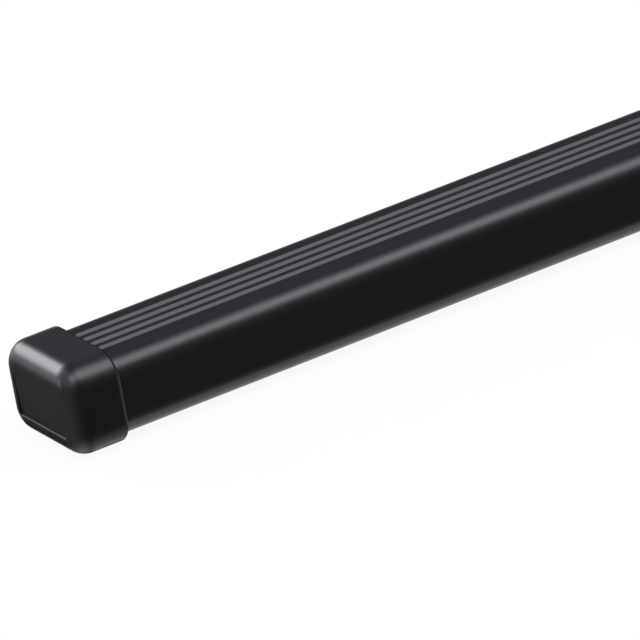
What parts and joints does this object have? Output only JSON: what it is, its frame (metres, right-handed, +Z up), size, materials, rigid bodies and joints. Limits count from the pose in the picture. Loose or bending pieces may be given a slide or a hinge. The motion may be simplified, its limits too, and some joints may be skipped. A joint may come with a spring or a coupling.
{
  "type": "roof rack crossbar",
  "caption": "Rectangular steel roof bar in a grooved black plastic jacket, closed by push-in moulded end caps.",
  "frame": {"origin": "middle of the bar's length and width, on the plane of the end caps' flat undersides", "axes": "+X along the bar, +Z up out of the grooved top, -Y the side that faces the viewer"},
  "size_m": [1.1882, 0.0358, 0.0253],
  "materials": {
    "galvanised_steel": "rolled, zinc coated",
    "jacket_plastic": "satin black, extruded",
    "cap_plastic": "satin black, moulded"
  },
  "bodies": {
    "bar": {"steel_tube": "galvanised_steel", "jacket": "jacket_plastic"},
    "cap_left": {"end_cap_left": "cap_plastic"},
    "cap_right": {"end_cap_right": "cap_plastic"}
  },
  "joints": [
    {"name": "cap_left_pull", "type": "slide", "parent": "bar", "child": "cap_left", "axis": [-1, 0, 0], "range_m": [0, 0.04]},
    {"name": "cap_right_pull", "type": "slide", "parent": "bar", "child": "cap_right", "axis": [1, 0, 0], "range_m": [0, 0.04]}
  ]
}
